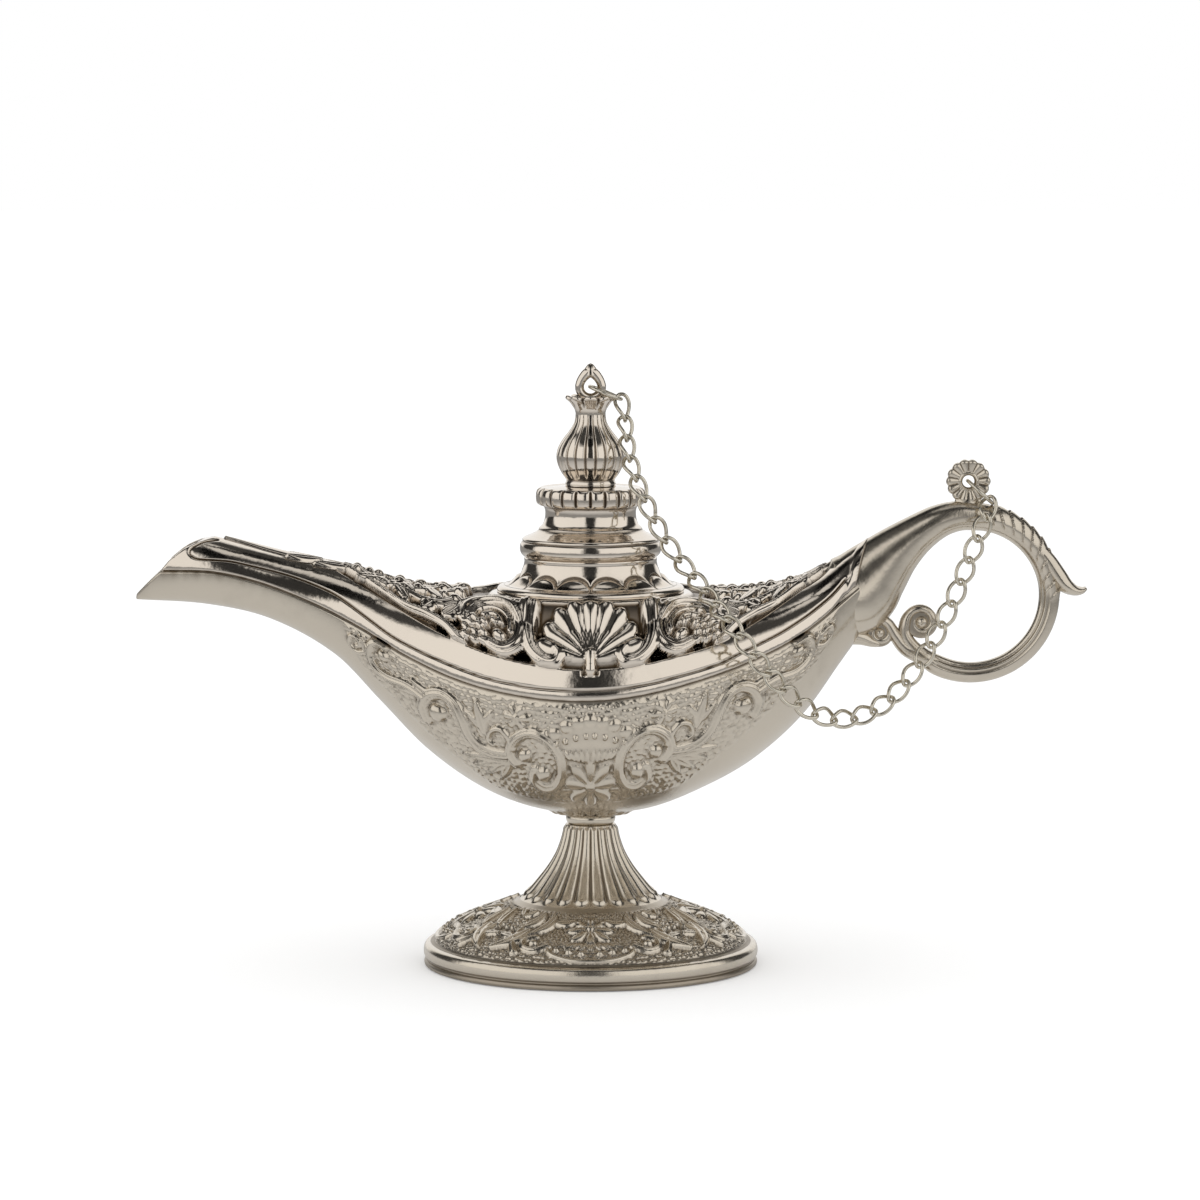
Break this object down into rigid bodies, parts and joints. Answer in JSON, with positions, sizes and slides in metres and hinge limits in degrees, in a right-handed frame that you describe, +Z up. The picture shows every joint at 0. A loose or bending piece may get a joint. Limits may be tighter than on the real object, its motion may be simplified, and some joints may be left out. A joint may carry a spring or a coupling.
{
  "type": "genie oil lamp",
  "caption": "Boat-shaped metal oil lamp with a spout, ring handle, pierced cover and fluted foot; its domed lid lifts straight up on a safety chain.",
  "frame": {"origin": "centre of the foot's rim, on the surface that the lamp stands on", "axes": "+X towards the ring handle, -X towards the spout, +Z up"},
  "size_m": [0.203, 0.0716, 0.1285],
  "materials": {
    "polished_nickel": "polished nickel silver with brown patina in the recesses",
    "satin_nickel": "satin nickel silver, cast ornament with darker recesses",
    "chain_wire": "drawn wire, lightly polished",
    "brass_fastener": "plain brass",
    "steel_screw": "plain steel"
  },
  "bodies": {
    "root": {"foot": "satin_nickel", "foot_screw": "steel_screw", "foot_washer": "brass_fastener", "knop": "satin_nickel", "bowl": "satin_nickel", "cover": "polished_nickel", "collar": "polished_nickel", "handle": "satin_nickel", "rosette_ring": "chain_wire"},
    "lid": {"lid": "polished_nickel", "finial": "polished_nickel", "finial_nut": "brass_fastener", "finial_ring": "chain_wire"},
    "chain_01": {"link_32": "chain_wire", "link_31": "chain_wire", "link_30": "chain_wire", "link_29": "chain_wire", "link_28": "chain_wire", "link_27": "chain_wire", "link_26": "chain_wire", "link_25": "chain_wire"},
    "chain_02": {"link_24": "chain_wire", "link_23": "chain_wire", "link_22": "chain_wire", "link_21": "chain_wire", "link_20": "chain_wire", "link_19": "chain_wire", "link_18": "chain_wire", "link_17": "chain_wire"},
    "chain_03": {"link_01": "chain_wire", "link_02": "chain_wire", "link_03": "chain_wire", "link_04": "chain_wire", "link_05": "chain_wire", "link_06": "chain_wire", "link_07": "chain_wire", "link_08": "chain_wire"},
    "chain_04": {"link_09": "chain_wire", "link_10": "chain_wire", "link_11": "chain_wire", "link_12": "chain_wire", "link_13": "chain_wire", "link_14": "chain_wire", "link_15": "chain_wire", "link_16": "chain_wire"}
  },
  "joints": [
    {"name": "lid_lift", "type": "slide", "parent": "root", "child": "lid", "axis": [0, 0, 1], "range_m": [0, 0.01]},
    {"name": "chain_01_bend", "type": "hinge", "parent": "root", "child": "chain_01", "pos_m": [0.0846, -0.0025, 0.0999], "axis": [-0.931, -0.0034, -0.3649], "range_deg": [0, 21.64]},
    {"name": "chain_02_bend", "type": "hinge", "parent": "chain_01", "child": "chain_02", "pos_m": [0.06943, -0.00941, 0.06527], "axis": [0.5385, 0.6391, 0.5491], "range_deg": [0, 12.93]},
    {"name": "chain_03_bend", "type": "hinge", "parent": "lid", "child": "chain_03", "pos_m": [0.00646, 0.0002, 0.12142], "axis": [-0.6987, -0.6049, 0.3821], "range_deg": [0, 15.51]},
    {"name": "chain_04_bend", "type": "hinge", "parent": "chain_03", "child": "chain_04", "pos_m": [0.01858, -0.01236, 0.08782], "axis": [0.4023, 0.5875, -0.7022], "range_deg": [0, 31.81]}
  ],
  "couplings": [
    {"joint": "chain_01_bend", "follows": "lid_lift", "rad_per_m": 36.591},
    {"joint": "chain_02_bend", "follows": "lid_lift", "rad_per_m": 21.816},
    {"joint": "chain_03_bend", "follows": "lid_lift", "rad_per_m": 26.197},
    {"joint": "chain_04_bend", "follows": "lid_lift", "rad_per_m": 53.821}
  ]
}
